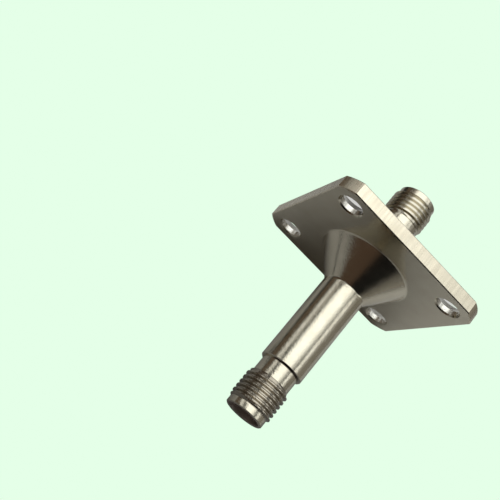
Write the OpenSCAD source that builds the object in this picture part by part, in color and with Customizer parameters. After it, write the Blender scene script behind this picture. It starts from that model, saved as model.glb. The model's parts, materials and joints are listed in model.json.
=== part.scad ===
// Coaxial panel adapter with a threaded jack at each end.
// A square flange carries a cone on both faces. A short jack stands on the front cone.
// A long plain barrel runs back from the rear cone and ends in a second jack.
// The connector's axis lies along Y, with the short jack towards +Y.
// The origin is the middle of the flange's rear face, which seats on the panel.

/* [Flange] */
// Side of the square flange
flange_side = 25.4; // [23.5:0.1:32]
// Thickness of the flange
flange_thick = 2.0; // [1.5:0.1:4]
// Leg of the 45 degree cut across each corner
corner_cut = 2.0; // [0.6:0.1:3]
// Chamfer that breaks the flange's outer edges
edge_break = 0.12; // [0.05:0.01:0.3]
// Distance between screw holes, along each side
hole_pitch = 18.8; // [17.8:0.1:19.4]
// Diameter of the screw holes
hole_d = 3.5; // [2.8:0.1:4]
// Diameter of the 90 degree countersinks in the front face
sink_d = 5.7; // [4.6:0.1:6]
// Chamfer that breaks the holes' rims in the rear face
rim_break = 0.2; // [0.05:0.05:0.3]

/* [Cones] */
// Diameter of both cones where they leave the flange
cone_base_d = 14.0; // [11:0.1:15.5]
// Radius of the fillet between cone and flange
cone_fillet = 0.4; // [0.1:0.05:0.6]
// Height of the rear cone
rear_cone_h = 5.0; // [3:0.1:8]
// Height of the front cone
front_cone_h = 5.2; // [3:0.1:8]
// Diameter of the front cone at its small end
front_cone_tip_d = 6.2; // [5.9:0.05:6.8]

/* [Barrel] */
// Diameter of the plain barrel
barrel_d = 6.4; // [6:0.05:8]
// Length of the barrel, from the cone to its shoulder
barrel_len = 14.05; // [6:0.05:40]
// Radius of the fillet between rear cone and barrel
barrel_fillet = 0.5; // [0.2:0.05:1]
// Chamfer at the barrel's shoulder
shoulder_break = 0.12; // [0.05:0.01:0.2]

/* [Jacks] */
// Outside diameter of the jacks' thread
thread_d = 6.35; // [6.2:0.01:6.4]
// Length of the rear jack's thread
rear_thread_len = 4.6; // [3:0.1:9]
// Length of the front jack's thread
front_thread_len = 3.7; // [3:0.1:9]
// Diameter of the relief behind each thread
neck_d = 5.5; // [5.3:0.05:5.9]
// Length of the relief behind the rear thread
rear_neck_len = 2.3; // [0.6:0.1:5]
// Length of the relief behind the front thread
front_neck_len = 1.4; // [0.5:0.1:5]
// Diameter of the plain lead in front of each thread
lead_d = 5.7; // [5.4:0.05:6]
// Length of the plain lead
lead_len = 0.95; // [0.4:0.05:1.2]
// Chamfer at each jack's front edges
front_break = 0.12; // [0.05:0.01:0.2]
// Diameter of the jack's mouth
mouth_d = 4.6; // [4.4:0.01:4.7]
// Depth of the jack's mouth, down to the reference plane
mouth_depth = 1.95; // [1.5:0.05:2.4]

/* [Line] */
// Diameter of the bore that holds the insulators
bore_d = 4.13; // [3.8:0.01:4.2]
// Diameter of the centre contact
contact_d = 1.27; // [1.1:0.01:1.4]
// How far the contact lies behind the reference plane
contact_recess = 0.1; // [0.05:0.05:0.3]
// Diameter of the sockets in the contact's ends
socket_d = 0.94; // [0.8:0.01:1]
// Depth of the sockets
socket_depth = 3.2; // [2:0.1:4]
// Width of the slots that let the sockets spring
slot_w = 0.14; // [0.1:0.01:0.16]
// Length of the slots
slot_len = 2.8; // [1.5:0.1:4]
// Diameter of the collar that the insulators trap
collar_d = 2.2; // [1.8:0.1:3]
// Thickness of the collar
collar_thick = 1.0; // [0.5:0.1:2]
// Gap around a piece that is pushed into its seat
push_gap = 0.01; // [0:0.005:0.02]

/* [Hidden] */

$fn = 96;
fillet_steps = 5;
// How far a cutter runs past the face that it opens
past = 1;

nickel = [0.74, 0.72, 0.67];
insulator_white = [0.90, 0.92, 0.94];
contact_gold = [0.83, 0.66, 0.36];

// Places along the axis, from the flange's rear face
front_cone_end = flange_thick + front_cone_h;
front_end = front_cone_end + front_neck_len + front_thread_len + lead_len;
shoulder = -rear_cone_h - barrel_len;
rear_end = shoulder - rear_neck_len - rear_thread_len - lead_len;
front_plane = front_end - mouth_depth;
rear_plane = rear_end + mouth_depth;
line_middle = flange_thick / 2;

// Turns a shape modelled along Z so that its Z runs along Y
module along_axis() {
    rotate([-90, 0, 0]) children();
}

// Square plate with its corners cut off
module flange_outline() {
    half = flange_side / 2;
    inner = half - corner_cut;
    polygon([
        [half, -inner], [half, inner], [inner, half], [-inner, half],
        [-half, inner], [-half, -inner], [-inner, -half], [inner, -half]
    ]);
}

// Cutters along the flange's outer edges, on both faces
module flange_edge_cutters() {
    corner_reach = (flange_side - corner_cut) / sqrt(2);
    cutter = edge_break * sqrt(2);
    for (z = [0, flange_thick])
        for (i = [0 : 7])
            rotate([0, 0, 45 * i])
                translate([i % 2 == 0 ? flange_side / 2 : corner_reach, 0, z])
                    rotate([0, 45, 0])
                        cube([cutter, flange_side, cutter], center = true);
}

// Screw hole with a countersink in the front face and a broken rim in the rear face
module screw_hole() {
    sink_h = (sink_d - hole_d) / 2;
    translate([0, 0, -past])
        cylinder(d = hole_d, h = flange_thick + 2 * past);
    translate([0, 0, flange_thick - sink_h])
        cylinder(d1 = hole_d, d2 = sink_d + 2 * past, h = sink_h + past);
    translate([0, 0, -past])
        cylinder(d1 = hole_d + 2 * rim_break + 2 * past, d2 = hole_d, h = rim_break + past);
}

module flange_plate() {
    difference() {
        linear_extrude(flange_thick) flange_outline();
        flange_edge_cutters();
        for (x = [-1, 1])
            for (y = [-1, 1])
                translate([x, y, 0] * hole_pitch / 2)
                    screw_hole();
    }
}

// The outlines below list radius and distance from the piece's seat outwards.

// Cone that stands on the flange, with a fillet round its base and an outline for its tip
function cone_outline(tip_d, height, tip) =
    let (
        base_r = cone_base_d / 2,
        slope = atan2(height, base_r - tip_d / 2),
        centre = [base_r + cone_fillet * tan(slope / 2), cone_fillet]
    )
    concat(
        [
            for (i = [0 : fillet_steps])
                let (turn = slope * i / fillet_steps)
                    centre - cone_fillet * [sin(turn), cos(turn)]
        ],
        tip
    );

// Barrel from the cone's fillet up to its shoulder
function barrel_outline() = [
    [barrel_d / 2, barrel_len - shoulder_break],
    [barrel_d / 2 - shoulder_break, barrel_len]
];

// Fillet that runs from a cone's side into the barrel
function barrel_fillet_outline(height) =
    let (
        lean = atan2((cone_base_d - barrel_d) / 2, height),
        centre = [barrel_d / 2 + barrel_fillet, height + barrel_fillet * tan(lean / 2)]
    )
    [
        for (i = [fillet_steps : -1 : 0])
            let (turn = lean * i / fillet_steps)
                centre - barrel_fillet * [cos(turn), sin(turn)]
    ];

// Jack: relief, thread at its outside diameter, plain lead and front face
function jack_outline(neck_len, thread_len) =
    let (
        neck_r = neck_d / 2,
        thread_r = thread_d / 2,
        lead_r = lead_d / 2,
        thread_end = neck_len + thread_len,
        end = thread_end + lead_len
    )
    [
        [neck_r, 0],
        [neck_r, neck_len],
        [thread_r, neck_len + thread_r - neck_r],
        [thread_r, thread_end - thread_r + lead_r],
        [lead_r, thread_end],
        [lead_r, end - front_break],
        [lead_r - front_break, end],
        [0, end]
    ];

// An outline set on its seat, with its distances running along or against the axis
function seated(outline, seat, way) = [for (p = outline) [p[0], seat + way * p[1]]];

function backwards(list) = [for (i = [len(list) - 1 : -1 : 0]) list[i]];

// Everything that is turned, from the rear jack's front face to the front jack's
module turned_form() {
    front_tip = [[front_cone_tip_d / 2, front_cone_h]];
    front_side = concat(
        seated(cone_outline(front_cone_tip_d, front_cone_h, front_tip), flange_thick, 1),
        seated(jack_outline(front_neck_len, front_thread_len), front_cone_end, 1)
    );
    rear_side = concat(
        seated(cone_outline(barrel_d, rear_cone_h, barrel_fillet_outline(rear_cone_h)), 0, -1),
        seated(barrel_outline(), -rear_cone_h, -1),
        seated(jack_outline(rear_neck_len, rear_thread_len), shoulder, -1)
    );
    rotate_extrude()
        polygon(concat(backwards(rear_side), front_side));
}

// Mouth of a jack, cut inwards from its front face
module mouth_cutter() {
    translate([0, 0, -mouth_depth])
        cylinder(d = mouth_d, h = mouth_depth + past);
    translate([0, 0, -front_break])
        cylinder(d1 = mouth_d, d2 = mouth_d + 2 * (front_break + past), h = front_break + past);
}

// One turned and milled piece: flange, cones, barrel and both jacks
module body() {
    color(nickel)
        along_axis()
            difference() {
                union() {
                    flange_plate();
                    turned_form();
                }
                translate([0, 0, rear_plane - past])
                    cylinder(d = bore_d, h = front_plane - rear_plane + 2 * past);
                translate([0, 0, front_end])
                    mouth_cutter();
                translate([0, 0, rear_end])
                    mirror([0, 0, 1])
                        mouth_cutter();
            }
}

// Sleeve between a reference plane and the collar's middle
module insulator(len) {
    difference() {
        cylinder(d = bore_d - 2 * push_gap, h = len);
        translate([0, 0, -past])
            cylinder(d = contact_d + 2 * push_gap, h = len + 2 * past);
        translate([0, 0, -past])
            cylinder(d = collar_d + 2 * push_gap, h = past + collar_thick / 2 + push_gap);
    }
}

module front_insulator() {
    color(insulator_white)
        along_axis()
            translate([0, 0, line_middle])
                insulator(front_plane - line_middle);
}

module rear_insulator() {
    color(insulator_white)
        along_axis()
            translate([0, 0, line_middle])
                mirror([0, 0, 1])
                    insulator(line_middle - rear_plane);
}

// Spring socket, cut inwards from the contact's end
module socket_cutter() {
    translate([0, 0, -socket_depth])
        cylinder(d = socket_d, h = socket_depth + past);
    for (turn = [0, 90])
        rotate([0, 0, turn])
            translate([-contact_d, -slot_w / 2, -slot_len])
                cube([2 * contact_d, slot_w, slot_len + past]);
}

// Contact with a slotted socket at each end and a collar that the insulators trap
module centre_contact() {
    contact_front = front_plane - contact_recess;
    contact_rear = rear_plane + contact_recess;
    color(contact_gold)
        along_axis()
            difference() {
                union() {
                    translate([0, 0, contact_rear])
                        cylinder(d = contact_d, h = contact_front - contact_rear);
                    translate([0, 0, line_middle - collar_thick / 2])
                        cylinder(d = collar_d, h = collar_thick);
                }
                translate([0, 0, contact_front])
                    socket_cutter();
                translate([0, 0, contact_rear])
                    mirror([0, 0, 1])
                        socket_cutter();
            }
}

body();
front_insulator();
rear_insulator();
centre_contact();
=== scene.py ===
"""Looks of a coaxial panel adapter: plated shell with cut threads, insulators and contact."""
import json
import math

import bmesh
import bpy
from mathutils import Matrix, Vector


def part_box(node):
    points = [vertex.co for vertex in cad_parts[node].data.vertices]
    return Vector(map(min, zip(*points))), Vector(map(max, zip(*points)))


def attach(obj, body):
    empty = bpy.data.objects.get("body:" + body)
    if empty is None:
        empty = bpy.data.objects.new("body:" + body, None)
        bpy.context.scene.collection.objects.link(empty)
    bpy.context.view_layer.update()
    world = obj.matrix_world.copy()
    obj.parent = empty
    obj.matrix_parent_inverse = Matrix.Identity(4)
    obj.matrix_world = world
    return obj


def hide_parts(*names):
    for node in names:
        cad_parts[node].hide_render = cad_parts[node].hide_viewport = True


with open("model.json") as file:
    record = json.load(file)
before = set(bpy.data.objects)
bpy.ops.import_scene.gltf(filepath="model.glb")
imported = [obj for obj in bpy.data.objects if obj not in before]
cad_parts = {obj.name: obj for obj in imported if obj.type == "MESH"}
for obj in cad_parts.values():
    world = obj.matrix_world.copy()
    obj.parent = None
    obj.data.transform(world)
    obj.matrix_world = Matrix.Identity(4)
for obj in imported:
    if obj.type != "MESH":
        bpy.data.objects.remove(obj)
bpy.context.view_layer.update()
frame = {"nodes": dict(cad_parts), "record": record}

# Sizes that the frame gives, in metres
MM = 0.001
mounts = {mount["name"]: mount for mount in frame["record"]["mounts"]}
shell_low, shell_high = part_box("body")
flange_half = shell_high.x
front_end = shell_high.y
rear_end = shell_low.y
front_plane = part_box("front_insulator")[1].y
rear_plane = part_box("rear_insulator")[0].y
bore_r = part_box("rear_insulator")[1].x
hole_r = mounts["flange_screws"]["dims"]["hole_r_mm"] * MM
hole_reach = mounts["flange_screws"]["dims"]["spacing_x_mm"] * MM / 2
thread_r = mounts["front_thread"]["dims"]["r_mm"] * MM
mouth_r = mounts["front_mouth"]["dims"]["r_mm"] * MM

# Flange
flange_thick = 2.0 * MM
corner_cut = 2.0 * MM
corner_crown = 0.15 * MM
edge_break = 0.12 * MM
sink_r = 2.85 * MM
rim_break = 0.2 * MM

# Cones and barrel
cone_base_r = 7.0 * MM
cone_fillet = 0.4 * MM
rear_cone_h = 5.0 * MM
front_cone_h = 5.2 * MM
front_cone_tip_r = 3.1 * MM
barrel_r = 3.2 * MM
barrel_len = 14.05 * MM
barrel_fillet = 0.5 * MM
shoulder_break = 0.12 * MM

# Jacks
neck_r = 2.75 * MM
lead_r = 2.85 * MM
lead_len = 0.95 * MM
front_neck_len = 1.4 * MM
rear_neck_len = 2.3 * MM
front_break = 0.12 * MM

# Thread of the jacks. A phase is the share of a turn by which a thread is turned on.
inch = 25.4 * MM
threads_per_inch = 36
thread_pitch = inch / threads_per_inch
thread_angle = math.radians(60)
thread_crest = 0.19 * thread_pitch
thread_root = 0.26 * thread_pitch
thread_flank = (thread_pitch - thread_crest - thread_root) / 2
thread_depth = thread_flank / math.tan(thread_angle / 2)
front_phase = 0
rear_phase = 0.28

# Places along the axis
front_cone_end = flange_thick + front_cone_h
shoulder = -rear_cone_h - barrel_len
front_thread = (front_end - lead_len, front_cone_end + front_neck_len)
rear_thread = (shoulder - rear_neck_len, rear_end + lead_len)

# Mesh. Large faces weigh most in the normals that they share with small ones.
TURN_STEPS = 160
HOLE_STEPS = 64
FILLET_STEPS = 8
CORNER_STEPS = 8
SHARP_ANGLE = math.radians(30)
MERGE_GAP = 1e-4 * MM
FACE_WEIGHT = 100

# Material places in the shell
TURNED, FACED, MILLED, DRILLED, REAR_THREAD, FRONT_THREAD, BORED = range(7)


# Outlines of what is turned: points are (radius, place along the axis)
def arc(centre, radius, start, end):
    """Points on an arc, with angles measured from the radial direction."""
    points = []
    for i in range(FILLET_STEPS + 1):
        angle = start + (end - start) * i / FILLET_STEPS
        points.append((centre[0] + radius * math.cos(angle), centre[1] + radius * math.sin(angle)))
    return points


def cone_foot(seat, way, tip_r, height):
    """Fillet from the flange's face up to the cone's side."""
    slope = math.atan2(height, cone_base_r - tip_r)
    centre = (cone_base_r + cone_fillet * math.tan(slope / 2), seat + way * cone_fillet)
    return arc(centre, cone_fillet, -way * math.pi / 2, -way * (math.pi / 2 + slope))


def cone_to_barrel():
    """Fillet from the rear cone's side into the barrel."""
    slant = math.atan2(cone_base_r - barrel_r, rear_cone_h)
    centre = (barrel_r + barrel_fillet, -rear_cone_h - barrel_fillet * math.tan(slant / 2))
    return arc(centre, barrel_fillet, math.pi - slant, math.pi)


def jack_lead(end, way):
    """Plain lead with its broken front edge."""
    return [
        (lead_r, end - way * lead_len),
        (lead_r, end - way * front_break),
        (lead_r - front_break, end),
    ]


def jack_mouth(end, plane, way):
    """Lip, mouth and reference plane, from outside inwards."""
    return [
        (lead_r - front_break, end),
        (mouth_r + front_break, end),
        (mouth_r, end - way * front_break),
        (mouth_r, plane),
        (bore_r, plane),
    ]


# Shell
def round_vertex(bm, radius, angle, place, centre=(0, 0)):
    """Vertex on a circle round a line along Y."""
    x, z = centre
    return bm.verts.new((x + radius * math.cos(angle), place, z + radius * math.sin(angle)))


def circle(bm, radius, place, steps=TURN_STEPS, centre=(0, 0)):
    """Loop of vertices round a line along Y."""
    turns = [2 * math.pi * i / steps for i in range(steps)]
    return [round_vertex(bm, radius, angle, place, centre) for angle in turns]


def skin(bm, loops, material, closed=True):
    """Faces between neighbouring loops of vertices, or between lines that aren't closed."""
    for lower, upper in zip(loops, loops[1:]):
        for i in range(0 if closed else 1, len(lower)):
            corners = (lower[i - 1], lower[i], upper[i], upper[i - 1])
            bm.faces.new(corners).material_index = material


def turn(bm, outline, material=TURNED):
    """Turned surface along an outline."""
    loops = [circle(bm, radius, place) for radius, place in outline]
    skin(bm, loops, material)
    return loops


def thread_form():
    """One pitch of the thread, with flat crest and root: (share of the pitch, radius)."""
    crest = thread_crest / 2 / thread_pitch
    root = crest + thread_flank / thread_pitch
    half = [(crest, thread_r), (root, thread_r - thread_depth)]
    return half + [(1 - share, radius) for share, radius in reversed(half)]


def thread_line(bm, ends, end_radii, radius, turned):
    """One turn of a line along the thread, held between its ends and their 45 degree slopes."""
    start, end = ends
    start_r, end_r = end_radii
    line = []
    for i in range(TURN_STEPS + 1):
        way = i / TURN_STEPS
        along = min(max((turned + way) * thread_pitch, 0), start - end)
        remaining = start - end - along
        lifted = max(radius, start_r - along, end_r - remaining)
        held = min(lifted, start_r + along, end_r + remaining)
        line.append(round_vertex(bm, held, 2 * math.pi * way, start - along))
    return line


def cut_thread(bm, ends, end_radii, phase, material):
    """Right-handed thread that runs against the axis, with 45 degree ends on plain circles."""
    start, end = ends
    turns_before = 2
    turns_after = math.ceil((start - end) / thread_pitch) + 1
    lines = []
    for turn_number in range(-turns_before, turns_after):
        for share, radius in thread_form():
            lines.append(thread_line(bm, ends, end_radii, radius, turn_number + share - phase))
    skin(bm, lines, material, closed=False)


def turned_part(bm):
    """Cones, barrel and jacks with their bore. Gives the loops at the feet of both cones."""
    rear_outside = cone_foot(0, -1, barrel_r, rear_cone_h) + cone_to_barrel() + [
        (barrel_r, shoulder + shoulder_break),
        (barrel_r - shoulder_break, shoulder),
        (neck_r, shoulder),
        (neck_r, rear_thread[0]),
    ]
    rear_mouth = jack_mouth(rear_end, rear_plane, -1)
    front_mouth = jack_mouth(front_end, front_plane, 1)
    front_outside = [
        (neck_r, front_thread[1]),
        (neck_r, front_cone_end),
        (front_cone_tip_r, front_cone_end),
    ] + cone_foot(flange_thick, 1, front_cone_tip_r, front_cone_h)[::-1]
    rear_loops = turn(bm, rear_outside)
    cut_thread(bm, rear_thread, (neck_r, lead_r), rear_phase, REAR_THREAD)
    turn(bm, jack_lead(rear_end, -1))
    turn(bm, rear_mouth + front_mouth[::-1], BORED)
    turn(bm, jack_lead(front_end, 1)[::-1])
    cut_thread(bm, front_thread, (lead_r, neck_r), front_phase, FRONT_THREAD)
    front_loops = turn(bm, front_outside)
    return rear_loops[0], front_loops[-1]


def cut_corner(half, cut):
    """Points (x, z) along one cut corner of the flange, which polishing has crowned."""
    points = []
    for i in range(CORNER_STEPS + 1):
        share = 2 * i / CORNER_STEPS - 1
        middle = half - cut / 2 + corner_crown * (1 - share**2) / math.sqrt(2)
        points.append((middle - share * cut / 2, middle + share * cut / 2))
    return points


def flange_rim(bm, inset, place):
    """Flange's outline, moved inwards by an inset, which shortens the corners' cuts as well."""
    corner = cut_corner(flange_half - inset, corner_cut - (2 - math.sqrt(2)) * inset)
    rim = []
    for _ in range(4):
        rim += corner
        corner = [(-z, x) for x, z in corner]
    return [bm.verts.new((x, place, z)) for x, z in rim]


def screw_hole(bm, x, z):
    """Wall of a screw hole, from its broken rear rim to its countersink."""
    sink_h = sink_r - hole_r
    outline = [
        (hole_r + rim_break, 0),
        (hole_r, rim_break),
        (hole_r, flange_thick - sink_h),
        (sink_r, flange_thick),
    ]
    loops = [circle(bm, radius, place, HOLE_STEPS, (x, z)) for radius, place in outline]
    skin(bm, loops[:2], TURNED)
    skin(bm, loops[1:], DRILLED)
    return loops


def fill(bm, loops, way):
    """Flat face of the flange between its outline, the cone's foot and the holes."""
    edges = [bm.edges.get((loop[i - 1], loop[i])) for loop in loops for i in range(len(loop))]
    made = bmesh.ops.triangle_fill(bm, use_beauty=True, edges=edges, normal=(0, way, 0))
    for item in made["geom"]:
        if isinstance(item, bmesh.types.BMFace):
            item.material_index = FACED


def flange_part(bm, rear_foot, front_foot):
    """Flange's edge, its screw holes and its flat faces round the feet of the cones."""
    rim = [
        flange_rim(bm, edge_break, 0),
        flange_rim(bm, 0, edge_break),
        flange_rim(bm, 0, flange_thick - edge_break),
        flange_rim(bm, edge_break, flange_thick),
    ]
    skin(bm, rim, MILLED)
    sides = (-hole_reach, hole_reach)
    holes = [screw_hole(bm, x, z) for x in sides for z in sides]
    fill(bm, [rear_foot, rim[0]] + [hole[0] for hole in holes], -1)
    fill(bm, [front_foot, rim[-1]] + [hole[-1] for hole in holes], 1)


def mark_sharp_edges(bm):
    """Sharp edges where faces meet at an angle, and round the flat faces to keep them flat."""
    for edge in bm.edges:
        faced = [face.material_index == FACED for face in edge.link_faces]
        edge.smooth = edge.calc_face_angle() < SHARP_ANGLE and len(set(faced)) == 1


def mesh_of(bm, name):
    """Mesh of what a bmesh holds, which is then freed."""
    mesh = bpy.data.meshes.new(name)
    bm.to_mesh(mesh)
    bm.free()
    return mesh


def make_shell():
    """Shell as one closed mesh, each face with its material place."""
    bm = bmesh.new()
    rear_foot, front_foot = turned_part(bm)
    flange_part(bm, rear_foot, front_foot)
    bmesh.ops.remove_doubles(bm, verts=bm.verts, dist=MERGE_GAP)
    bmesh.ops.recalc_face_normals(bm, faces=bm.faces)
    mark_sharp_edges(bm)
    mesh = mesh_of(bm, "shell")
    mesh.shade_smooth()
    piece = bpy.data.objects.new("shell", mesh)
    bpy.context.scene.collection.objects.link(piece)
    weighted = piece.modifiers.new("weighted", "WEIGHTED_NORMAL")
    weighted.keep_sharp = True
    weighted.weight = FACE_WEIGHT
    return piece


# Nodes of materials
NOISE_LOW, NOISE_HIGH = 0.3, 0.7


def add(tree, kind, inputs=None, **settings):
    """A node with its settings, and with each input set to a value or linked to a socket."""
    node = tree.nodes.new(kind)
    for name, value in settings.items():
        setattr(node, name, value)
    for name, value in (inputs or {}).items():
        if isinstance(value, bpy.types.NodeSocket):
            tree.links.new(value, node.inputs[name])
        else:
            node.inputs[name].default_value = value
    return node


def new_material(name):
    """A new material, its node tree and its shader."""
    material = bpy.data.materials.new(name)
    material.use_nodes = True
    tree = material.node_tree
    return material, tree, tree.nodes["Principled BSDF"]


def coordinates(tree, kind):
    """Coordinates of a kind, such as those of the object."""
    return add(tree, "ShaderNodeTexCoord").outputs[kind]


def parts_of(tree, vector):
    """A vector's parts X, Y and Z."""
    return add(tree, "ShaderNodeSeparateXYZ", {0: vector}).outputs


def scaled(tree, vector, level):
    """A vector or a colour times a level."""
    scale = add(tree, "ShaderNodeVectorMath", {0: vector, "Scale": level}, operation="SCALE")
    return scale.outputs["Vector"]


def product(tree, first, second):
    """Two levels multiplied."""
    return add(tree, "ShaderNodeMath", {0: first, 1: second}, operation="MULTIPLY").outputs["Value"]


def multiply_add(tree, value, factor, addend):
    """A level times a factor, with another level added."""
    sockets = {0: value, 1: factor, 2: addend}
    return add(tree, "ShaderNodeMath", sockets, operation="MULTIPLY_ADD").outputs["Value"]


def blend(tree, share, first, second):
    """Mix of two colours. The mix node's colour sockets are reached by their numbers."""
    sockets = {0: share, 6: first, 7: second}
    return add(tree, "ShaderNodeMix", sockets, data_type="RGBA").outputs[2]


def ramp(tree, value, start, end, low=0, high=1, curve="LINEAR"):
    """Level that goes from low to high while a value goes from start to end."""
    sockets = {"Value": value, "From Min": start, "From Max": end, "To Min": low, "To Max": high}
    return add(tree, "ShaderNodeMapRange", sockets, interpolation_type=curve).outputs["Result"]


def smooth_ramp(tree, value, start, end, low=0, high=1):
    """Ramp with rounded ends."""
    return ramp(tree, value, start, end, low, high, "SMOOTHSTEP")


def band(tree, value, start, full_from, full_to, end):
    """Level that rises to 1 and falls again along a value."""
    return product(tree, ramp(tree, value, start, full_from), ramp(tree, value, end, full_to))


def noise(tree, vector, scale, detail, dimensions="3D"):
    """Noise along a vector."""
    sockets = {"Vector": vector, "Scale": scale, "Detail": detail}
    return add(tree, "ShaderNodeTexNoise", sockets, noise_dimensions=dimensions).outputs["Fac"]


def spread(tree, value, low, high):
    """Noise stretched between two values."""
    return ramp(tree, value, NOISE_LOW, NOISE_HIGH, low, high)


# Tool marks, dirt and painted shade, worked out from places in millimetres
def place_in_mm(tree):
    """Object coordinates in millimetres, which lie in the part's own frame."""
    return scaled(tree, coordinates(tree, "Object"), 1 / MM)


def radius_and_place(tree, place):
    """Vector of radius from the axis and place along it."""
    parts = parts_of(tree, place)
    flat = add(tree, "ShaderNodeCombineXYZ", {"X": parts["X"], "Y": parts["Z"]}).outputs["Vector"]
    radius = add(tree, "ShaderNodeVectorMath", {0: flat}, operation="LENGTH").outputs["Value"]
    return add(tree, "ShaderNodeCombineXYZ", {"X": radius, "Y": parts["Y"]}).outputs["Vector"]


def turned_marks(tree, place, grain_share=2.5):
    """Rings from the tool, and the fine grain of the plating."""
    rings = noise(tree, radius_and_place(tree, place), scale=9.0, detail=3, dimensions="2D")
    grain = noise(tree, place, scale=4.5, detail=0)
    return multiply_add(tree, grain, grain_share, rings)


def worn_marks(tree, place):
    """Rings and a stronger grain, where a nut has rubbed."""
    return turned_marks(tree, place, grain_share=5.0)


def faced_marks(tree, place):
    """Slow waves of a ground face."""
    return noise(tree, place, scale=0.4, detail=1)


def milled_marks(tree, place):
    """Lines through the flange's thickness, from the side of a milling cutter."""
    across, through = 2.4, 0.1
    squeeze = add(
        tree, "ShaderNodeMapping", {"Vector": place, "Scale": (across, through, across)}
    )
    return noise(tree, squeeze.outputs["Vector"], scale=1.0, detail=1)


def milled_grime(tree, place):
    """Faint dirt along the cutter's lines."""
    most = 0.14
    return spread(tree, milled_marks(tree, place), 0, most)


def painted_corner_shade(tree, place):
    """Painted shade in the corner between the barrel's shoulder and the neck, which fades at its sides.
    """
    corner = shoulder / MM
    rim = corner + shoulder_break / MM
    full_width, whole_width = 0.08, 0.2
    left_end, full_left, full_right, right_end = -2.6, -1.4, 1.6, 3.0
    parts = parts_of(tree, place)
    line = band(tree, parts["Y"], corner - whole_width, corner - full_width, corner, rim)
    sides = band(tree, parts["X"], left_end, full_left, full_right, right_end)
    return product(tree, line, sides)


def painted_root_shade(tree, place):
    """Painted shade that darkens the colour deep in the thread, towards its root."""
    most = 0.15
    radius = parts_of(tree, radius_and_place(tree, place))["X"]
    return ramp(tree, radius, thread_r / MM, (thread_r - thread_depth) / MM, 0, most)


# Materials. A pair of colours is the ends of a finish's uneven tone.
NICKEL = ((0.68, 0.63, 0.50, 1), (0.62, 0.565, 0.44, 1))
# Painted light: a lighter copy of the nickel for the milled edge, standing in for the light it catches
LIT_EDGE_NICKEL = ((0.82, 0.75, 0.585, 1), (0.76, 0.685, 0.525, 1))
# Painted light: a lighter, whiter copy of the nickel for the hole walls, which whitens their glints
LIT_HOLE_NICKEL = ((0.78, 0.755, 0.68, 1), (0.70, 0.675, 0.60, 1))
# Painted shade: a darker copy of the nickel for the front thread
SHADED_FRONT_THREAD_NICKEL = ((0.60, 0.555, 0.445, 1), (0.52, 0.48, 0.385, 1))
# Painted shade: a much darker copy of the nickel for the rear thread
SHADED_REAR_THREAD_NICKEL = ((0.48, 0.433, 0.35, 1), (0.355, 0.318, 0.25, 1))
TARNISHED_NICKEL = ((0.66, 0.58, 0.52, 1), (0.58, 0.50, 0.44, 1))
GOLD = ((0.83, 0.58, 0.26, 1), (0.70, 0.45, 0.19, 1))
FLUOROPOLYMER = ((0.80, 0.82, 0.82, 1), (0.72, 0.73, 0.72, 1))
# Dark colour for dirt along the cutter's lines, and for painted shade in the shoulder's corner and the
# thread's roots
DIRT_AND_PAINTED_SHADE = (0.10, 0.08, 0.06, 1)

# Depths of the tool marks, in millimetres
TOOL_RINGS = 0.004
CONTACT_RINGS = 0.003
GROUND_WAVES = 0.002
CUTTER_LINES = 0.012


def surface(name, colours, tone, marks_of, mark_depth, roughness, patches, dirt_and_shade_of=None, metal=1):
    """Material with uneven colour and roughness, tool marks, dirt and painted shade.

    tone and patches are the scale and detail of the noise in colour and in roughness. marks_of
    gives the height of the tool marks, and dirt_and_shade_of the level of dirt and of painted
    shade. roughness is a lowest and a highest value. metal is the share of bare metal, where the
    rest lies under a dull film.
    """
    material, tree, shader = new_material(name)
    place = place_in_mm(tree)
    colour = blend(tree, spread(tree, noise(tree, place, *tone), 0, 1), *colours)
    if dirt_and_shade_of:
        colour = blend(tree, dirt_and_shade_of(tree, place), colour, DIRT_AND_PAINTED_SHADE)
    height = marks_of(tree, place)
    bump = add(
        tree, "ShaderNodeBump", {"Height": height, "Strength": 1.0, "Distance": mark_depth * MM}
    )
    rough = spread(tree, noise(tree, place, *patches), *roughness)
    tree.links.new(colour, shader.inputs["Base Color"])
    tree.links.new(bump.outputs["Normal"], shader.inputs["Normal"])
    tree.links.new(rough, shader.inputs["Roughness"])
    shader.inputs["Metallic"].default_value = metal
    return material


def plate(name, colours, marks_of, mark_depth, roughness, dirt_and_shade_of=None, bare=1):
    """Nickel plate over machined brass."""
    tone, patches = (0.35, 4), (1.3, 3)
    return surface(name, colours, tone, marks_of, mark_depth, roughness, patches, dirt_and_shade_of, bare)


def make_insulator_material():
    """Turned fluoropolymer."""
    tone, patches = (0.8, 3), (2.0, 2)
    roughness = (0.38, 0.5)
    return surface(
        "insulator", FLUOROPOLYMER, tone, turned_marks, TOOL_RINGS, roughness, patches, metal=0
    )


def make_gold_material():
    """Gold plate over the turned contact."""
    tone, patches = (1.5, 3), (3.0, 2)
    roughness = (0.2, 0.32)
    return surface("gold_plate", GOLD, tone, turned_marks, CONTACT_RINGS, roughness, patches)


def dress(node, material):
    """Gives a node of the frame its material."""
    for slot in frame["nodes"][node].material_slots:
        slot.link = "DATA"
        slot.material = material


# Studio. The bench leans as the adapter lies: on the flange's edge and the rear thread.
lean = math.atan2(flange_half - thread_r, -rear_thread[1])
bench_turn = Matrix.Rotation(-lean, 3, "X")
bench_foot = Vector((0, 0, -flange_half))
level_turn = Matrix.Identity(3)
backdrop_reach = 1.2
light_distance = 0.4

# Camera, fitted to the photo
camera_place = Vector((-34.51, -50.85, 108.14)) * MM
camera_right = Vector((0.6913, 0.6227, 0.3666))
camera_up = Vector((-0.7002, 0.7025, 0.1274))
camera_lens = 63.94
camera_sensor = 36

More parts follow.
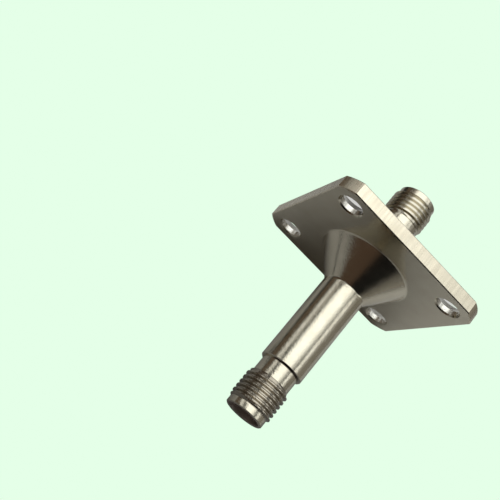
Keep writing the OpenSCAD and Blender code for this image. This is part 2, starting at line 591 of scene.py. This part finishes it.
# Colours of the studio
PALE = (0.783, 1.0, 0.807, 1)
SHADE = (0.62, 0.62, 0.60, 1)
COOL_WHITE = (1.0, 1.03, 1.04, 1)
BLACK_CARD = (0.02, 0.02, 0.02, 1)
BACK_WALL = (0.25, 0.25, 0.245)
CEILING = (0.38, 0.38, 0.38)
BROWN_WALL = (0.066, 0.041, 0.027)
BROWN_WALL_BACK = (0.036, 0.036, 0.028)
RIGHT_WALL = (0.23, 0.22, 0.20)
DARK_ROOM = (0.008, 0.008, 0.008)
MATT = 0.9

# Rays that see a piece of the studio
SEEN = ("camera",)
MIRRORED = ("glossy", "diffuse")


def see_only(obj, rays):
    """Shows a piece of the studio to some kinds of rays alone."""
    for ray in ("camera", "diffuse", "glossy", "transmission", "volume_scatter", "shadow"):
        setattr(obj, f"visible_{ray}", ray in rays)


def stage_piece(name, mesh, material, place, tilt, rays):
    """Sets up a piece of the studio."""
    mesh.materials.append(material)
    piece = bpy.data.objects.new(name, mesh)
    piece.matrix_world = Matrix.Translation(place) @ tilt.to_4x4()
    bpy.context.scene.collection.objects.link(piece)
    see_only(piece, rays)


def card_mesh(name, half_x, half_y, slant=0):
    """Flat card with its own coordinates from 0 to 1. A slant moves its ends apart along X."""
    mesh = bpy.data.meshes.new(name)
    signs = [(-1, -1), (1, -1), (1, 1), (-1, 1)]
    corners = [(x * half_x + y * half_y * slant, y * half_y, 0) for x, y in signs]
    mesh.from_pydata(corners, [], [(0, 1, 2, 3)])
    card = mesh.uv_layers.new(name="card")
    for place, (x, y) in zip(card.uv, signs):
        place.vector = ((x + 1) / 2, (y + 1) / 2)
    return mesh


def card_place(tree):
    """Places across and along a card, from 0 to 1."""
    parts = parts_of(tree, coordinates(tree, "UV"))
    return parts["X"], parts["Y"]


def side_fade(tree, from_side, along, side):
    """Fades a card in from one side. The fade leans outwards along the card."""
    start, end, outwards = side
    return smooth_ramp(tree, multiply_add(tree, along, outwards, from_side), start, end)


def glow(name):
    """Material that only shines, its node tree and its shader."""
    material = bpy.data.materials.new(name)
    material.use_nodes = True
    tree = material.node_tree
    tree.nodes.clear()
    shine = add(tree, "ShaderNodeEmission")
    output = add(tree, "ShaderNodeOutputMaterial")
    tree.links.new(shine.outputs["Emission"], output.inputs["Surface"])
    return material, tree, shine


def make_backdrop():
    """Pale floor under the flange's lowest edge, and a dome of the same colour around it."""
    pale, _, shine = glow("pale_backdrop")
    shine.inputs["Color"].default_value = PALE
    floor = card_mesh("floor", backdrop_reach, backdrop_reach)
    stage_piece("floor", floor, pale, bench_foot, level_turn, SEEN)
    bm = bmesh.new()
    bmesh.ops.create_uvsphere(bm, u_segments=48, v_segments=24, radius=backdrop_reach)
    stage_piece("dome", mesh_of(bm, "dome"), pale, Vector(), level_turn, SEEN)


def make_shade():
    """Soft shade that the flange throws on the floor behind it, which shows through its holes."""
    margin = 0.3 * MM
    above_floor = 0.1 * MM
    soft = 0.1
    material, tree, shine = glow("shade")
    across, along = card_place(tree)
    level = product(
        tree,
        band(tree, across, 0, soft, 1 - soft, 1),
        band(tree, along, 0, soft, 1 - soft, 1),
    )
    tree.links.new(blend(tree, level, PALE, SHADE), shine.inputs["Color"])
    mesh = card_mesh("shade", 1, 1)
    for vertex in mesh.vertices:
        x, z, _ = vertex.co * (flange_half - margin)
        edge = Vector((x, flange_thick, z))
        sight = edge - camera_place
        vertex.co = edge + sight * (bench_foot.z + above_floor - edge.z) / sight.z
    stage_piece("shade", mesh, material, Vector(), level_turn, SEEN)


def make_bench():
    """Grey sheet that the metal mirrors, with painted light that makes it paler on the right and a
    painted shadow in front of the adapter.
    """
    left, right, front, back = -0.095, 0.08, -0.08, 0.2
    under_flange = Vector((0, 0, 0.2 * MM))
    shaded_grey_left, lit_grey_right = 0.23, 0.82
    left_side = (-0.009, 0.151, -0.878)
    right_from, right_level = 0.78, 0.3
    shade_place = Vector((0.005, -0.045, 0))
    shade_core, shade_reach, shade_level = 0.012, 0.04, 0.42
    centre = Vector(((left + right) / 2, (front + back) / 2, 0))
    material, tree, shader = new_material("bench")
    across, along = card_place(tree)
    # Painted light: the grey grows lighter towards the right
    pale = ramp(tree, across, 0, 1, shaded_grey_left, lit_grey_right)
    ends = product(
        tree,
        side_fade(tree, across, along, left_side),
        smooth_ramp(tree, across, 1, right_from, right_level, 1),
    )
    # Painted shadow in front of the adapter
    from_shade = add(
        tree,
        "ShaderNodeVectorMath",
        {0: coordinates(tree, "Object"), 1: shade_place - centre},
        operation="DISTANCE",
    )
    shaded = smooth_ramp(tree, from_shade.outputs["Value"], shade_core, shade_reach, shade_level, 1)
    grey = product(tree, product(tree, pale, ends), shaded)
    tree.links.new(grey, shader.inputs["Base Color"])
    shader.inputs["Roughness"].default_value = MATT
    mesh = card_mesh("bench", (right - left) / 2, (back - front) / 2)
    place = bench_foot + bench_turn @ (centre - under_flange)
    stage_piece("bench", mesh, material, place, bench_turn, MIRRORED)


def make_flag():
    """Black card on the bench that draws a dark line down the cone's left side."""
    half_length, half_width = 0.007, 0.0012
    on_bench = Vector((-0.0224, -0.0132, 0))
    swing = Matrix.Rotation(math.radians(-19), 3, "Z")
    material, _, shader = new_material("flag")
    shader.inputs["Base Color"].default_value = BLACK_CARD
    shader.inputs["Roughness"].default_value = MATT
    mesh = card_mesh("flag", half_length, half_width)
    place = bench_foot + bench_turn @ on_bench
    stage_piece("flag", mesh, material, place, bench_turn @ swing, MIRRORED)


def soft_light(name, angles, front, back, radiance, left, right, slant=0):
    """Softbox over the bench.

    Its angles run from overhead towards the right, in degrees. front and back are shares of its
    distance, and left and right are the fades of its sides.
    """
    soft_end = 0.2
    start, end = (math.radians(angle) for angle in angles)
    half_x = light_distance * math.tan((end - start) / 2)
    half_y = light_distance * (back - front) / 2
    swing = bench_turn @ Matrix.Rotation((start + end) / 2, 3, "Y")
    middle = light_distance * (front + back) / 2
    place = swing @ Vector((middle * slant, middle, light_distance))
    material, tree, shine = glow(name)
    shine.inputs["Color"].default_value = COOL_WHITE
    from_left, along = card_place(tree)
    from_right = add(tree, "ShaderNodeMath", {0: 1.0, 1: from_left}, operation="SUBTRACT")
    sides = product(
        tree,
        side_fade(tree, from_left, along, left),
        side_fade(tree, from_right.outputs["Value"], along, right),
    )
    ends = product(
        tree,
        smooth_ramp(tree, along, 0, soft_end),
        smooth_ramp(tree, along, 1, 1 - soft_end),
    )
    tree.links.new(product(tree, product(tree, sides, ends), radiance), shine.inputs["Strength"])
    mesh = card_mesh(name, half_x, half_y, slant)
    stage_piece(name, mesh, material, place, swing, MIRRORED)


def sum_of(tree, colours):
    """Colours added up."""
    total = colours[0]
    for colour in colours[1:]:
        total = add(tree, "ShaderNodeVectorMath", {0: total, 1: colour}).outputs["Vector"]
    return total


def make_world():
    """Dark room: grey ceiling and wall at the back, brown wall on the left, grey wall on the right.

    Each fades in between two limits, which are parts of a direction from the bench, from -1 to 1.
    """
    ceiling_height, ceiling_depth = (0.35, 0.65), (-0.35, 0)
    back_height, back_depth = (0.3, 0.1), (0.8, 0.95)
    left_side, left_depth = (0.05, -0.2), (-0.5, 0.2)
    right_side = (0.62, 0.95)
    world = bpy.data.worlds.new("room")
    world.use_nodes = True
    tree = world.node_tree
    turned = add(
        tree,
        "ShaderNodeVectorRotate",
        {"Vector": coordinates(tree, "Generated"), "Angle": lean},
        rotation_type="X_AXIS",
    )
    parts = parts_of(tree, turned.outputs["Vector"])
    x, y, z = parts["X"], parts["Y"], parts["Z"]
    high = smooth_ramp(tree, z, *ceiling_height)
    ceiling = product(tree, high, smooth_ramp(tree, y, *ceiling_depth))
    low = smooth_ramp(tree, z, *back_height)
    back = product(tree, low, smooth_ramp(tree, y, *back_depth))
    left = smooth_ramp(tree, x, *left_side)
    left_back = product(tree, left, smooth_ramp(tree, y, *left_depth))
    right = smooth_ramp(tree, x, *right_side)
    walls = (
        (back, BACK_WALL),
        (ceiling, CEILING),
        (left, BROWN_WALL),
        (left_back, BROWN_WALL_BACK),
        (right, RIGHT_WALL),
    )
    colours = [scaled(tree, colour, level) for level, colour in walls]
    colour = sum_of(tree, colours + [DARK_ROOM])
    tree.links.new(colour, tree.nodes["Background"].inputs["Color"])
    bpy.context.scene.world = world


def make_camera():
    """Camera that stands over the barrel's left, turned so that the barrel points down left."""
    data = bpy.data.cameras.new("camera")
    data.sensor_width = camera_sensor
    data.lens = camera_lens
    data.clip_start = 1 * MM
    camera = bpy.data.objects.new("camera", data)
    axes = Matrix((camera_right, camera_up, camera_right.cross(camera_up))).transposed()
    camera.matrix_world = Matrix.Translation(camera_place) @ axes.to_4x4()
    bpy.context.scene.collection.objects.link(camera)
    bpy.context.scene.camera = camera


# Adapter, with the shell's finishes in the order of their places
shell = make_shell()
for finish in (
    plate("plate_turned", NICKEL, turned_marks, TOOL_RINGS, (0.16, 0.24), painted_corner_shade),
    plate("plate_faced", NICKEL, faced_marks, GROUND_WAVES, (0.15, 0.19)),
    plate("plate_milled", LIT_EDGE_NICKEL, milled_marks, CUTTER_LINES, (0.24, 0.32), milled_grime),
    plate("plate_drilled", LIT_HOLE_NICKEL, turned_marks, TOOL_RINGS, (0.2, 0.28)),
    plate("plate_rear_thread", SHADED_REAR_THREAD_NICKEL, worn_marks, TOOL_RINGS, (0.17, 0.25), painted_root_shade, bare=0.92),
    plate("plate_front_thread", SHADED_FRONT_THREAD_NICKEL, turned_marks, TOOL_RINGS, (0.16, 0.24)),
    plate("plate_bored", TARNISHED_NICKEL, turned_marks, TOOL_RINGS, (0.4, 0.5)),
):
    shell.data.materials.append(finish)
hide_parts("body")
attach(shell, "root")

insulator_material = make_insulator_material()
dress("front_insulator", insulator_material)
dress("rear_insulator", insulator_material)
dress("centre_contact", make_gold_material())

# What stands around it
make_backdrop()
make_shade()
make_bench()
make_flag()
plain_side = (0, 0.35, 0)
soft_light(
    "overhead",
    angles=(-47, 47),
    front=-0.65,
    back=0.75,
    radiance=1.75,
    left=(0.39, 0.535, 0.6),
    right=(0.13, 0.485, 0),
)
soft_light(
    "right_strip",
    angles=(33, 60),
    front=-0.8,
    back=0.8,
    radiance=1.4,
    left=plain_side,
    right=plain_side,
    slant=-1.0,
)
soft_light(
    "left_strip",
    angles=(-66, -48),
    front=-0.8,
    back=0.5,
    radiance=1.0,
    left=plain_side,
    right=plain_side,
    slant=-0.6,
)
make_world()
make_camera()
bpy.context.scene.view_settings.view_transform = "Standard"
